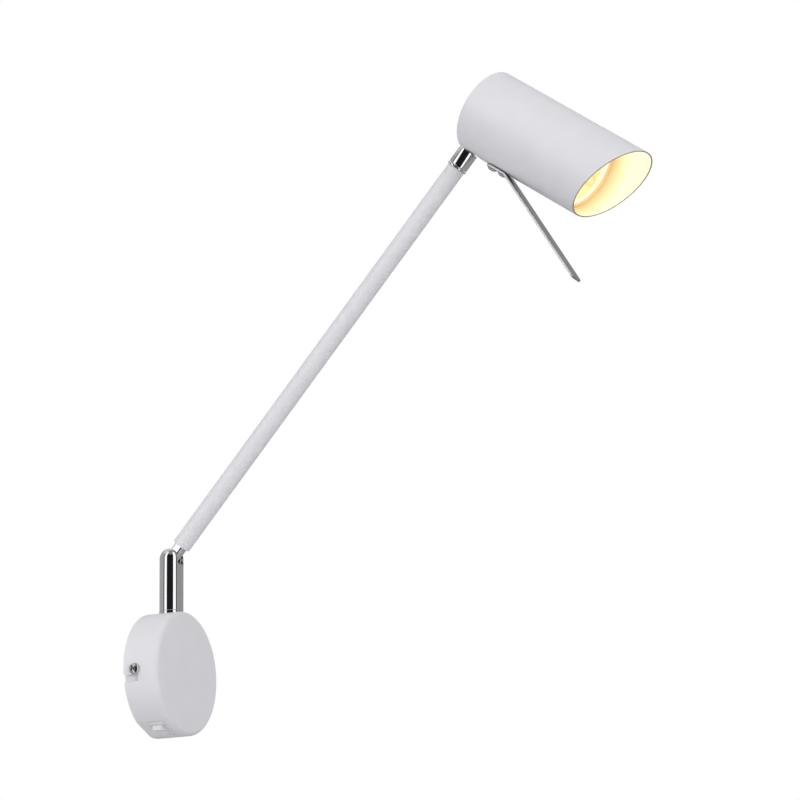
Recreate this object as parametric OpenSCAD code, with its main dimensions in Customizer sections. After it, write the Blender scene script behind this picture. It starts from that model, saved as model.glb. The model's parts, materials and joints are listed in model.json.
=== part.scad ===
// Swing arm wall sconce. A round wall base with a rocker switch carries a swivelling post,
// the post carries a tilting arm, and the arm carries a spot head that swivels and tilts.
// The wall is the plane y = 0. The lamp stands out towards -y and z is up.

/* [Base] */
// Outer diameter of the round wall cover
base_d = 80; // [76:1:96]
// Distance from the wall to the front of the cover
base_depth = 25; // [24:0.5:30]
// Radius of the cover's rounded front edge
base_round = 3; // [2:0.5:4]
// Sheet thickness of the cover
base_wall = 1.2; // [1:0.1:1.5]
// Distance between the centres of the two wall screw slots
wall_screw_spacing = 50; // [46:1:52]
// End to end length of each wall screw slot
wall_slot_length = 14; // [10:1:16]
// Width of each wall screw slot
wall_slot_width = 4.5; // [4:0.1:5]

/* [Switch] */
// Place of the switch round the rim, counted from the +x side
switch_angle = -111; // [-130:1:-100]
// Distance from the wall to the middle of the switch
switch_depth = 13.6; // [13:0.1:14.5]
// Angle that the rocker turns between its two ends
rocker_throw = 24; // [16:1:24]

/* [Post] */
// Diameter of the swivelling post
post_d = 15.5; // [15:0.1:17]
// Height of the elbow pivot above the middle of the base
elbow_height = 75.7; // [70:0.1:110]

/* [Arm] */
// Angle of the arm above the horizontal
arm_angle = 48.5; // [5:0.5:90]
// Diameter of the arm tube
arm_d = 12; // [12:0.1:13]
// Length of the arm tube
arm_length = 302; // [150:1:450]

/* [Head] */
// Angle between the arm and the shade's axis
head_bend = 84.5; // [70:0.5:100]
// Outer diameter of the shade
shade_d = 56; // [56:0.5:62]
// Length of the shade along its axis
shade_length = 107; // [104:0.5:115]
// Angle of the slanted mouth
mouth_angle = 20.8; // [0:0.1:21]
// Sheet thickness of the shade
shade_wall = 1; // [0.8:0.1:1.2]
// Length of the free part of the grab handle
handle_length = 87; // [60:1:110]
// Angle by which the handle bends away from the shade
handle_bend = 23; // [10:1:30]

/* [Hidden] */
$fn = 72;
fine = 240;         // facets of a round that a saddle is cut to
eps = 0.1;          // overshoot of a cut
contact = 0.05;     // gap left where flat faces meet
running = 0.05;     // radial clearance of a pin in its bore
slide_gap = 0.3;    // gap beside a part that moves
snug = 0.02;        // gap between two rounds that rest on each other
through = 12;       // length of a cut that runs right through a thin part
small_screw_d = 3;
small_head = [5.6, 2];  // diameter and height of a small screw's head

// Base
base_r = base_d / 2;
post_depth = base_depth / 2;
bracket_t = 1.5;
plate_r = base_r - 4;
tab_outer = base_r - 2.7;
tab_w = 14.2;
tab_low = -4.6;         // lower end of a tab, its upper end covers the bayonet slot from behind
tab_root = 8;
tab_depth = 12.5;
tab_boss_d = 7;
tab_boss_h = 2.5;
stud_h = 2;
block_stud_d = 6;
earth_stud_d = 7;
tap_floor = 1;
screw_drop = 1.4;
screw_depth = 8.2;
screw_d = 4;
screw_l = 9;
screw_head = [7.2, 2.2];
screw_turn = 35;
screw_slot = 4.4;
notch_offset = 5.8;
notch_depth = screw_depth + screw_slot / 2;
lead_in = 0.8;
cable_drop = 11;
cable_hole_d = 12;
cable_bore_d = 8;
grommet_rim_d = cable_hole_d + 4;
grommet_rim_t = 1.6;
grommet_neck = bracket_t + 1;
earth_pos = [17, -18];
earth_screw_d = 4;
earth_screw_l = 3;
earth_head = [7, 2.4];
earth_washer = [9, 0.8];

// Terminal block
block = [19, 14, 12];
block_low = 5;
pole_pitch = 9.5;
clamp_w = 5.6;
clamp_depth = 4.2;
clamp_screw_pitch = 6.5;
clamp_bore_d = 2.8;
clamp_screw_d = 2.5;
clamp_screw_l = 1.6;
clamp_head = [3.6, 1.6];
clamp_cut = [0.6, 0.7];     // width and depth of the screwdriver slot
driver_way_d = 4;
block_sink = 2.1;
block_screw_l = 12;

// Switch
seat_r = base_r - 1.2;
seat_w = 11.2;        // twice the distance from the switch to the front edge of its seat
seat_l = 26;
bezel = [16, 10.5, 1.2];
housing = [14.6, 8.8, 10];
cavity = [13.8, 7.6, 4.6];
rocker_r = 6.6;
rocker_w = 7;
rocker_pivot = -0.3;
rocker_crest = 1.9;
rocker_floor = -2.5;
trunnion_d = 2;
trunnion_l = 8.4;
trunnion_end_gap = 0.15;
blade = [0.8, 4.8, 6.5];
blade_grip = 1.9;
blade_offset = 4;

// Post
stub_d = 9.6;
wire_bore = 7.2;
ring_top = base_r + 1.2;
ring_d = post_d + 0.3;
saddle_d = post_d - 0.5;
saddle_h = 5;
post_foot = ring_top + contact;
saddle_foot = base_r - 3.5;
washer_t = 0.8;
washer_d = 14.5;
nut_t = 3;
nut_w = 14;
stub_foot = saddle_foot - washer_t - nut_t - 1.2;
post_wires_start = stub_foot - 0.5;
pocket_w = 8.6;
pocket_r = 5.3;
pocket_rise = 0.5;      // how far the round floor of the pocket is shifted towards its open side
pocket_far = 20;

// Knuckles, at the elbow and in the head
disc_d = 9;
disc_t = 0.5;
elbow_tongue_t = pocket_w - 2 * disc_t - 4 * contact;
neck_tongue_t = 4.4;
bar_r = 4.3;            // a tongue is a round bar with two flats
eye_r = 4.6;
pin_d = 3;
pin_seat = 5.9;         // distance from the post's axis to the seat of the pin's head
pin_head = [5.2, 1.3];
pin_cut = [0.8, 0.7];   // width and depth of the screwdriver slot
pin_l = 12.2;
pin_end_gap = 0.2;

// Arm
tube_wall = 1;
tube_start = 11;
tube_end = tube_start + arm_length;
bush_depth = 15;
neck_stub_d = 8.8;
neck_stub_l = 8;
neck_ring_d = 13.6;
neck_ring_t = 1.2;
neck_start = tube_end + neck_ring_t + slide_gap;
neck_d = 13.2;
neck_floor = 2;
neck_bore_d = 11.6;
neck_length = 11.9;
neck_plug_t = 4.6;
neck_nut_t = 2.8;
neck_wires_start = neck_start + 6.8;
tilt_height = neck_start + neck_length + 8.5;

// Leads: two insulated conductors side by side
lead_d = 1.5;
lead_offset = 2.75;
lead_bore = 1.8;
lead_gap = 0.3;                  // gap between the cut ends of two leads
lead_sides = 12;
lead_up = unit([1, 0.2, 0.1]);   // reference direction that no lead runs along

// Head, measured from the middle of the shade's back
shade_r = shade_d / 2;
shade_round = 2.5;
tilt_inset = 6.74;
tilt_drop = shade_r - 9;
notch_w = 14.2;
notch_reach = 10.1;
notch_height = 10.5;
foot_start = 21;
foot_end = 40;
plate_start = 16;
plate_d = 24;
strip_t = 1.5;
strip_w = 12;
shelf_drop = 15;
ear_r = 4.5;
ear_gap = 5.6;
ear_shoulder = 4;
ear_back = 5;
ear_top = 6;
tilt_screw_l = 12.4;
tilt_nut_w = 5.5;
tilt_nut_t = 2.4;
handle_w = 14.4;
handle_t = 1.4;
handle_tip_round = 3;
handle_top_round = 7;
handle_start = 23.6;
handle_corner = 40.4;
handle_holes = [27.1, 35.7];
handle_hole_d = 3.2;
handle_screw_l = 5.6;
handle_screw_head = [6.6, 1.6];
handle_screw_turn = 20;
holder_start = plate_start + strip_t;
holder_d = 27;
holder_h = 16.5;
holder_screw_x = 8;
holder_screw_l = 14.5;
holder_screw_sink = 4;
cup_start = 3;
cup_d = 6.2;
cup_h = 11;
cup_wall = 0.5;
cup_floor = 2;
lead_hole_d = 2.2;
bulb_rim = 87.5;
bulb_r = 25;
bulb_base_start = holder_start + holder_h;
bulb_base_end = bulb_rim - 34.5;
bulb_base_r = 10.5;
bulb_neck_r = 12;
bulb_neck_h = 6;
bulb_wall = 1;
bulb_pin_d = 3;
bulb_pin_l = 11.5;
bulb_pin_reach = 7.2;
bulb_pin_head = [4.8, 2.2];
bulb_steps = 8;
burner_foot = [9, 4];
burner_d = 7;
burner_top = 14;
glass_t = 1.6;
glass_set_back = 2;
glass_gap = 0.3;
pin_pitch = 10;

// ---------- Places ----------

// x right, y up, z away from the wall
module wall_frame() {
    rotate([90, 0, 0]) children();
}

// x round the rim, y away from the wall, z out of the rim, from the middle of the switch seat
module switch_frame() {
    wall_frame() rotate([0, 0, switch_angle]) rotate([90, 0, 90])
        translate([0, switch_depth, seat_r]) children();
}

// Upright through the post, z counted from the middle of the base
module post_frame() {
    translate([0, -post_depth, 0]) children();
}

// z along the arm, from the elbow pivot
module arm_frame() {
    translate([0, -post_depth, elbow_height]) rotate([90 - arm_angle, 0, 0]) children();
}

// z along the shade towards its mouth, y towards its long lip, from the middle of its back
module head_frame() {
    arm_frame() translate([0, 0, tilt_height]) rotate([head_bend, 0, 0])
        translate([0, tilt_drop, -tilt_inset]) children();
}

// ---------- Shared shapes ----------

// A round plate from z = 0 to z = h with its top edge rounded
module rounded_disc(r, h, round) {
    rotate_extrude() {
        square([r - round, h]);
        square([r, h - round]);
        translate([r - round, h - round]) intersection() {
            circle(round);
            square(round);
        }
    }
}

module ring(outer_d, inner_d, h) {
    difference() {
        cylinder(d = outer_d, h = h);
        translate([0, 0, -eps]) cylinder(d = inner_d, h = h + 2 * eps);
    }
}

module hex_nut(across_flats, bore_d, h) {
    difference() {
        cylinder(d = across_flats / cos(30), h = h, $fn = 6);
        translate([0, 0, -eps]) cylinder(d = bore_d, h = h + 2 * eps);
    }
}

// A screw with a domed head above z = 0 and its shank below. head is its diameter and height
module pan_screw(d, length, head) {
    dome_r = 0.7 * head.x;
    recess_l = 0.6 * head.x;
    recess_w = 0.12 * head.x;
    recess_floor = 0.4 * head.y;
    difference() {
        union() {
            translate([0, 0, -length]) cylinder(d = d, h = length + eps);
            intersection() {
                cylinder(d = head.x, h = head.y);
                translate([0, 0, head.y - dome_r]) sphere(dome_r);
            }
        }
        for (turn = [0, 90])
            rotate([0, 0, turn])
                translate([-recess_l / 2, -recess_w / 2, recess_floor]) cube([recess_l, recess_w, head.y]);
    }
}

// A flat bar with round ends, centred, standing on z = 0
module slot_bar(length, width, h) {
    straight = length - width;
    translate([-straight / 2, -width / 2, 0]) cube([straight, width, h]);
    for (side = [-1, 1])
        translate([side * straight / 2, 0, 0]) cylinder(d = width, h = h);
}

// A round bar along x, centred
module cross_bar(d, length) {
    rotate([0, 90, 0]) cylinder(d = d, h = length, center = true);
}

// A direction of unit length
function unit(v) = v / norm(v);

// The direction of a route at its point i, the mean of the steps before and after it
function heading(points, i) =
    let (last = len(points) - 1)
    unit(
        (i > 0 ? unit(points[i] - points[i - 1]) : [0, 0, 0])
        + (i < last ? unit(points[i + 1] - points[i]) : [0, 0, 0])
    );

// A lead that follows a list of points, swept as one closed tube with flat sides
module lead(points) {
    sides = lead_sides;
    rings = len(points);
    corners = [
        for (i = [0 : rings - 1])
            let (
                along = heading(points, i),
                across = unit(cross(along, lead_up)),
                up = cross(across, along)
            )
            for (k = [0 : sides - 1])
                let (turn = 360 * k / sides)
                points[i] + lead_d / 2 * (cos(turn) * across + sin(turn) * up)
    ];
    walls = [
        for (i = [0 : rings - 2], k = [0 : sides - 1])
            let (next = (k + 1) % sides, here = i * sides)
            [here + k, here + sides + k, here + sides + next, here + next]
    ];
    ends = [
        [for (k = [0 : sides - 1]) k],
        [for (k = [sides - 1 : -1 : 0]) (rings - 1) * sides + k]
    ];
    polyhedron(corners, concat(walls, ends));
}

// Two straight conductors along z, one on each side of the pins they pass
module lead_pair(start, end) {
    for (side = [-1, 1])
        translate([0, side * lead_offset, start]) cylinder(d = lead_d, h = end - start, $fn = 24);
}

module lead_bores(start, end) {
    for (side = [-1, 1])
        translate([0, side * lead_offset, start]) cylinder(d = lead_bore, h = end - start);
}

// A round bar with two flats and an eye at z = 0, running to z = reach, bored for pin and leads
module tongue(reach, thickness) {
    difference() {
        union() {
            rotate([0, 90, 0]) cylinder(r = eye_r, h = thickness, center = true);
            intersection() {
                cylinder(r = bar_r, h = reach);
                translate([-thickness / 2, -bar_r, 0]) cube([thickness, 2 * bar_r, reach]);
            }
        }
        cross_bar(pin_d + 2 * running, thickness + 1);
        lead_bores(-eye_r - 1, reach + 1);
    }
}

// The two thin friction discs beside a tongue
module friction_discs(thickness) {
    for (side = [-1, 1])
        translate([side * (thickness / 2 + contact + disc_t / 2), 0, 0]) rotate([0, 90, 0])
            translate([0, 0, -disc_t / 2]) ring(disc_d, pin_d + 2 * running, disc_t);
}

// ---------- Base ----------

// Two tabs, one a half turn from the other, take the screws that hold the cover
module wall_bracket() {
    color("silver") wall_frame() difference() {
        union() {
            cylinder(r = plate_r, h = bracket_t);
            for (turn = [0, 180])
                rotate([0, 0, turn]) {
                    translate([plate_r - tab_root, tab_low, 0])
                        cube([tab_outer - plate_r + tab_root, tab_w, bracket_t]);
                    translate([tab_outer - bracket_t, tab_low, 0])
                        cube([bracket_t, tab_w, tab_depth]);
                    translate([tab_outer - bracket_t - tab_boss_h, screw_drop, screw_depth])
                        rotate([0, 90, 0]) cylinder(d = tab_boss_d, h = tab_boss_h + bracket_t / 2);
                }
            translate([0, block_low + block.y / 2, 0]) cylinder(d = block_stud_d, h = bracket_t + stud_h);
            translate([earth_pos.x, earth_pos.y, 0]) cylinder(d = earth_stud_d, h = bracket_t + stud_h);
        }
        for (turn = [0, 180])
            rotate([0, 0, turn]) translate([tab_outer, screw_drop, screw_depth])
                cross_bar(screw_d + contact, through);
        for (side = [-1, 1])
            translate([side * wall_screw_spacing / 2, 0, -eps])
                slot_bar(wall_slot_length, wall_slot_width, bracket_t + 2 * eps);
        translate([0, -cable_drop, -eps]) cylinder(d = cable_hole_d, h = bracket_t + 2 * eps);
        translate([0, block_low + block.y / 2, tap_floor])
            cylinder(d = small_screw_d + contact, h = through);
        translate([earth_pos.x, earth_pos.y, tap_floor]) cylinder(d = earth_screw_d + contact, h = through);
    }
}

// Outline of a bayonet slot, x away from the wall and y round the rim, screw at y = 0
module bayonet_outline() {
    half_w = screw_slot / 2;
    translate([-1, -notch_offset - half_w]) square([notch_depth + 1, screw_slot]);
    translate([screw_depth - half_w, -notch_offset]) square([screw_slot, notch_offset]);
    translate([screw_depth, 0]) circle(half_w);
    polygon([
        [-1, -notch_offset - half_w - lead_in - 1],
        [lead_in, -notch_offset - half_w],
        [lead_in, -notch_offset + half_w],
        [-1, -notch_offset + half_w + lead_in + 1]
    ]);
}

module base_cover() {
    color("white") difference() {
        wall_frame() rounded_disc(base_r, base_depth, base_round);
        difference() {
            wall_frame() translate([0, 0, -1])
                rounded_disc(base_r - base_wall, base_depth - base_wall + 1, base_round - base_wall);
            switch_frame() translate([-seat_l / 2, -switch_depth - 2, -base_wall])
                cube([seat_l, switch_depth + 2 + seat_w / 2 + base_wall, through]);
        }
        switch_frame() translate([-seat_l / 2, -switch_depth - 1, 0])
            cube([seat_l, switch_depth + 1 + seat_w / 2, through]);
        switch_frame() cube([housing.x + contact, housing.y + contact, through], center = true);
        post_frame() cylinder(d = stub_d + 2 * contact, h = base_r + 5);
        wall_frame() for (turn = [0, 180])
            rotate([0, 0, turn]) translate([base_r, screw_drop, 0]) rotate([0, 90, 0])
                rotate([0, 0, 180]) linear_extrude(through, center = true) bayonet_outline();
    }
}

module cover_screws() {
    color("silver") wall_frame() for (turn = [0, 180])
        rotate([0, 0, turn]) translate([base_r + contact, screw_drop, screw_depth])
            rotate([0, 90, 0]) rotate([0, 0, screw_turn]) pan_screw(screw_d, screw_l, screw_head);
}

module cable_grommet() {
    color("dimgray") wall_frame() translate([0, -cable_drop, 0]) difference() {
        union() {
            cylinder(d = cable_hole_d - contact, h = grommet_neck);
            translate([0, 0, bracket_t + contact]) cylinder(d = grommet_rim_d, h = grommet_rim_t);
        }
        translate([0, 0, -eps]) cylinder(d = cable_bore_d, h = through);
    }
}

module earth_screw() {
    color("gold") wall_frame() translate([earth_pos.x, earth_pos.y, bracket_t + stud_h + contact]) {
        translate([0, 0, earth_washer.y + contact]) pan_screw(earth_screw_d, earth_screw_l, earth_head);
        ring(earth_washer.x, earth_screw_d + contact, earth_washer.y);
    }
}

// Centre of the terminal block's lower back corner
module block_frame() {
    wall_frame() translate([0, block_low, bracket_t + stud_h + contact]) children();
}

module terminal_block() {
    color("ivory") block_frame() difference() {
        translate([-block.x / 2, 0, 0]) cube(block);
        for (side = [-1, 1])
            translate([side * pole_pitch / 2, 0, 0]) {
                translate([-clamp_w / 2, -1, clamp_depth]) cube([clamp_w, block.y + 2, clamp_w]);
                for (end = [-1, 1])
                    translate([0, (block.y + end * clamp_screw_pitch) / 2, clamp_depth])
                        cylinder(d = driver_way_d, h = block.z);
            }
        translate([0, block.y / 2, -1]) cylinder(d = small_screw_d + 2 * contact, h = block.z);
        translate([0, block.y / 2, block.z - block_sink]) cylinder(d = small_head.x + 0.4, h = block.z);
    }
}

module terminal_clamps() {
    color("gold") block_frame() for (side = [-1, 1])
        translate([side * pole_pitch / 2, 0, clamp_depth + clamp_w / 2]) difference() {
            translate([0, block.y / 2, 0])
                cube([clamp_w - 0.2, block.y - 1, clamp_w - 0.2], center = true);
            rotate([-90, 0, 0]) translate([0, 0, -1]) cylinder(d = clamp_bore_d, h = block.y + 2);
            for (end = [-1, 1])
                translate([0, (block.y + end * clamp_screw_pitch) / 2, 0])
                    cylinder(d = clamp_screw_d + contact, h = clamp_w);
        }
}

module terminal_screws() {
    color("gold") block_frame() for (side = [-1, 1], end = [-1, 1])
        translate([side * pole_pitch / 2, (block.y + end * clamp_screw_pitch) / 2, 0])
            translate([0, 0, clamp_depth + clamp_w]) difference() {
                union() {
                    translate([0, 0, -clamp_screw_l]) cylinder(d = clamp_screw_d, h = clamp_screw_l + eps);
                    cylinder(d = clamp_head.x, h = clamp_head.y);
                }
                translate([-clamp_head.x, -clamp_cut.x / 2, clamp_head.y - clamp_cut.y])
                    cube([2 * clamp_head.x, clamp_cut.x, through]);
            }
}

module block_screw() {
    color("silver") block_frame()
        translate([0, block.y / 2, block.z - block_sink + contact])
            pan_screw(small_screw_d, block_screw_l, small_head);
}

// ---------- Switch ----------

module switch_housing() {
    color("white") switch_frame() difference() {
        union() {
            translate([-bezel.x / 2, -bezel.y / 2, 0]) cube(bezel);
            translate([-housing.x / 2, -housing.y / 2, -housing.z]) cube(housing);
        }
        translate([-cavity.x / 2, -cavity.y / 2, -cavity.z]) cube([cavity.x, cavity.y, through]);
        translate([0, 0, rocker_pivot]) rotate([90, 0, 0])
            cylinder(d = trunnion_d + 2 * running, h = trunnion_l + 2 * trunnion_end_gap, center = true);
        for (side = [-1, 1])
            translate([side * blade_offset, 0, -housing.z])
                cube([blade.x + contact, blade.y + contact, 2 * (blade_grip + eps)], center = true);
    }
}

// Two faces that meet in a shallow valley, on a body that is round about the trunnions
module rocker_outline() {
    valley = rocker_crest - rocker_pivot;
    side = rocker_r + 1;
    rise = side * tan(rocker_throw / 2);
    intersection() {
        circle(rocker_r);
        polygon([
            [-side, rocker_floor], [side, rocker_floor],
            [side, valley + rise], [0, valley], [-side, valley + rise]
        ]);
    }
}

module switch_rocker() {
    color("white") switch_frame() translate([0, 0, rocker_pivot]) rotate([0, rocker_throw / 2, 0])
        rotate([90, 0, 0]) {
            linear_extrude(rocker_w, center = true) rocker_outline();
            cylinder(d = trunnion_d, h = trunnion_l, center = true);
        }
}

module switch_terminals() {
    color("gold") switch_frame() for (side = [-1, 1])
        translate([side * blade_offset - blade.x / 2, -blade.y / 2, -housing.z - blade.z + blade_grip])
            cube(blade);
}

module base_wires() {
    terminal_h = block_low + block.y;
    bore_y = -(bracket_t + stud_h + clamp_depth + clamp_w / 2);
    foot = post_wires_start - lead_gap;
    color("sienna") {
        lead([[-pole_pitch / 2, bore_y, block_low + 2], [-pole_pitch / 2, bore_y, 3],
              [-9, -12, -6], [-11.8, -13.6, -19.2]]);
        lead([[-4.4, -13.6, -21.9], [-2, -17, -14], [12.5, -17, -4], [13, -17, 16],
              [0, -post_depth - lead_offset, 28], [0, -post_depth - lead_offset, foot]]);
        lead([[pole_pitch / 2, bore_y, terminal_h - 2], [pole_pitch / 2, bore_y, terminal_h + 2],
              [0, -post_depth + lead_offset, 28], [0, -post_depth + lead_offset, foot]]);
    }
}

// ---------- Post ----------

// The foot ring is cut to the round of the cover that it stands on
module post_ring() {
    color("gainsboro") difference() {
        post_frame() translate([0, 0, saddle_foot])
            ring(ring_d, stub_d + 2 * running, ring_top - saddle_foot, $fn = fine);
        wall_frame() cylinder(r = base_r + snug, h = base_depth + 5, $fn = fine);
    }
}

module post_saddle() {
    color("whitesmoke") intersection() {
        post_frame() translate([0, 0, saddle_foot])
            ring(saddle_d, stub_d + 2 * running, saddle_h, $fn = fine);
        wall_frame() cylinder(r = base_r - base_wall - snug, h = base_depth, $fn = fine);
    }
}

// Section of the way that the bar of the arm's tongue takes, with flat sides and a round floor
module pocket_section() {
    intersection() {
        union() {
            translate([0, pocket_rise]) circle(pocket_r);
            translate([-pocket_w / 2, 0]) square([pocket_w, pocket_far]);
        }
        translate([-pocket_w / 2, -pocket_r]) square([pocket_w, pocket_r + pocket_far]);
    }
}

// The room that the tongue turns in, for its eye and for its bar from level to upright
module post_pocket() {
    translate([0, 0, elbow_height]) {
        cross_bar(2 * pocket_r, pocket_w);
        rotate([90, 0, 0]) linear_extrude(pocket_far) pocket_section();
        rotate([0, 0, 180]) linear_extrude(pocket_far) pocket_section();
    }
}

// Under the head of the elbow pin, z along the pin
module pin_frame() {
    translate([pin_seat + contact, 0, elbow_height]) rotate([0, 90, 0]) children();
}

module post() {
    color("gainsboro") post_frame() difference() {
        union() {
            translate([0, 0, stub_foot]) cylinder(d = stub_d, h = post_foot - stub_foot + 1);
            translate([0, 0, post_foot]) cylinder(d = post_d, h = elbow_height - post_foot);
            translate([0, 0, elbow_height]) sphere(d = post_d);
        }
        translate([0, 0, stub_foot - 1]) cylinder(d = wire_bore, h = elbow_height - stub_foot - 2);
        post_pocket();
        pin_frame() {
            translate([0, 0, -pin_l - pin_end_gap]) cylinder(d = pin_d + contact, h = pin_l + through);
            translate([0, 0, -contact]) cylinder(d = pin_head.x + 0.2, h = through);
        }
    }
}

module post_washer() {
    color("silver") post_frame() translate([0, 0, saddle_foot - contact - washer_t])
        ring(washer_d, stub_d + contact, washer_t);
}

module post_nut() {
    color("silver") post_frame()
        translate([0, 0, saddle_foot - 2 * contact - washer_t - nut_t])
            hex_nut(nut_w, stub_d + contact, nut_t);
}

module elbow_pin() {
    color("gainsboro") post_frame() pin_frame() difference() {
        union() {
            translate([0, 0, -pin_l]) cylinder(d = pin_d, h = pin_l + eps);
            cylinder(d = pin_head.x, h = pin_head.y);
        }
        translate([-pin_head.x, -pin_cut.x / 2, pin_head.y - pin_cut.y])
            cube([2 * pin_head.x, pin_cut.x, through]);
    }
}

module elbow_discs() {
    color("whitesmoke") arm_frame() friction_discs(elbow_tongue_t);
}

module post_wires() {
    color("sienna") post_frame() lead_pair(post_wires_start, elbow_height - pocket_r - lead_gap);
}

// ---------- Arm ----------

module arm_tongue() {
    color("gainsboro") arm_frame() {
        tongue(tube_start + 1, elbow_tongue_t);
        difference() {
            translate([0, 0, tube_start]) cylinder(d = arm_d - 2 * tube_wall, h = bush_depth);
            lead_bores(0, tube_start + bush_depth + 1);
        }
    }
}

module arm_tube() {
    color("white") arm_frame() translate([0, 0, tube_start])
        ring(arm_d, arm_d - 2 * tube_wall, arm_length);
}

// A plug in the tube, the bright ring that shows, and the hollow stub that the neck turns on
module arm_bush() {
    color("gainsboro") arm_frame() difference() {
        union() {
            translate([0, 0, tube_end - bush_depth]) cylinder(d = arm_d - 2 * tube_wall, h = bush_depth + 1);
            translate([0, 0, tube_end + snug]) cylinder(d = neck_ring_d, h = neck_ring_t);
            translate([0, 0, tube_end]) cylinder(d = neck_stub_d, h = neck_stub_l);
        }
        translate([0, 0, tube_end - bush_depth - 1])
            cylinder(d = wire_bore, h = bush_depth + neck_stub_l + 2);
    }
}

module neck_washer() {
    color("silver") arm_frame() translate([0, 0, neck_start + neck_floor + contact])
        ring(neck_bore_d - 2 * slide_gap, neck_stub_d + contact, washer_t);
}

module neck_nut() {
    color("silver") arm_frame() translate([0, 0, neck_start + neck_floor + washer_t + 2 * contact])
        ring(neck_bore_d - 2 * slide_gap, neck_stub_d + contact, neck_nut_t);
}

module arm_wires() {
    color("sienna") arm_frame() lead_pair(-eye_r + 1, neck_wires_start - lead_gap);
}

// ---------- Neck ----------

module neck_sleeve() {
    color("gainsboro") arm_frame() translate([0, 0, neck_start]) difference() {
        cylinder(d = neck_d, h = neck_length);
        translate([0, 0, neck_floor]) cylinder(d = neck_bore_d, h = neck_length);
        translate([0, 0, -eps]) cylinder(d = neck_stub_d + 2 * running, h = through);
    }
}

module neck_tongue() {
    reach = tilt_height - neck_start - neck_length;
    color("silver") arm_frame() translate([0, 0, tilt_height]) rotate([180, 0, 0]) {
        tongue(reach + 1, neck_tongue_t);
        difference() {
            translate([0, 0, reach]) cylinder(d = neck_bore_d - contact, h = neck_plug_t);
            lead_bores(0, reach + neck_plug_t + 1);
        }
    }
}

module neck_wires() {
    color("sienna") arm_frame() lead_pair(neck_wires_start, tilt_height + eye_r - 1);
}

// ---------- Head ----------

// The opening under the back of the shade that the neck swings in
module neck_notch() {
    notch_r = notch_w / 2;
    past = 5;
    reach = shade_r + past;
    side_cut = past + 4;
    back_cut = past + shade_wall + 2;
    back_centre = notch_height - notch_r - shade_r;
    translate([-notch_r, -reach, -past]) cube([notch_w, side_cut, notch_reach + past]);
    translate([0, -reach, notch_reach]) rotate([-90, 0, 0]) cylinder(r = notch_r, h = side_cut);
    translate([0, back_centre, -past]) cylinder(r = notch_r, h = back_cut);
    translate([-notch_r, -reach, -past]) cube([notch_w, reach + back_centre, back_cut]);
}

// The bores of the two handle screws, through everything under the middle of the shade
module handle_bores(d) {
    for (hole = handle_holes)
        translate([0, -shade_r, hole]) rotate([90, 0, 0]) cylinder(d = d, h = through, center = true);
}

// Made longer than needed, then cut off along the slanted mouth
module shade() {
    blank = shade_length + 20;
    color("white") head_frame() difference() {
        translate([0, 0, blank]) rotate([180, 0, 0]) rounded_disc(shade_r, blank, shade_round);
        translate([0, 0, blank + 1]) rotate([180, 0, 0])
            rounded_disc(shade_r - shade_wall, blank + 1 - shade_wall, shade_round - shade_wall);
        translate([0, 0, shade_length]) rotate([mouth_angle, 0, 0])
            translate([-shade_d, -shade_d, 0]) cube(2 * shade_d);
        neck_notch();
        handle_bores(handle_hole_d);
    }
}

// Side view of an ear of the bracket, x along the shade and y up
module ear_outline() {
    pivot = [tilt_inset, -tilt_drop];
    translate(pivot) circle(ear_r);
    polygon([
        [pivot.x - ear_r, pivot.y], [pivot.x - ear_r, pivot.y + ear_shoulder],
        [plate_start - ear_back, -ear_top], [plate_start + strip_t / 3, -ear_top],
        [plate_start + strip_t / 3, -shelf_drop], [pivot.x + ear_r, pivot.y]
    ]);
}

// A folded strip: a foot on the shade, a step up round the lampholder, a plate behind it
// and two ears for the tilt screw
module lamp_bracket() {
    foot_y = -sqrt(pow(shade_r - shade_wall, 2) - pow(strip_w / 2, 2)) + contact;
    color("silver") head_frame() difference() {
        union() {
            translate([-strip_w / 2, foot_y, foot_start]) cube([strip_w, strip_t, foot_end - foot_start]);
            translate([-strip_w / 2, foot_y, foot_start]) cube([strip_w, -shelf_drop - foot_y, strip_t]);
            translate([-strip_w / 2, -shelf_drop - strip_t, plate_start])
                cube([strip_w, strip_t, foot_start + strip_t - plate_start]);
            translate([-strip_w / 2, -shelf_drop - strip_t, plate_start])
                cube([strip_w, shelf_drop + strip_t, strip_t]);
            translate([0, 0, plate_start]) cylinder(d = plate_d, h = strip_t);
            for (side = [-1, 1])
                translate([side * (ear_gap + strip_t) / 2 + strip_t / 2, 0, 0]) rotate([0, -90, 0])
                    linear_extrude(strip_t) ear_outline();
        }
        translate([0, -tilt_drop, tilt_inset]) cross_bar(pin_d + contact, strip_w + 1);
        for (side = [-1, 1]) {
            translate([side * holder_screw_x, 0, plate_start - 1])
                cylinder(d = small_screw_d + contact, h = strip_t + 2);
            translate([0, side * pin_pitch / 2, plate_start - 1])
                cylinder(d = lead_hole_d, h = strip_t + 2);
        }
        handle_bores(small_screw_d + contact);
    }
}

// The place of the tilt screw, z along the screw
module tilt_frame() {
    head_frame() translate([0, -tilt_drop, tilt_inset]) rotate([0, 90, 0]) children();
}

module tilt_screw() {
    color("silver") tilt_frame()
        translate([0, 0, ear_gap / 2 + strip_t + contact]) pan_screw(pin_d, tilt_screw_l, small_head);
}

module tilt_discs() {
    color("whitesmoke") head_frame() translate([0, -tilt_drop, tilt_inset]) friction_discs(neck_tongue_t);
}

module tilt_nut() {
    color("silver") tilt_frame()
        translate([0, 0, -ear_gap / 2 - strip_t - contact - tilt_nut_t])
            hex_nut(tilt_nut_w, pin_d + contact, tilt_nut_t);
}

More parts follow.
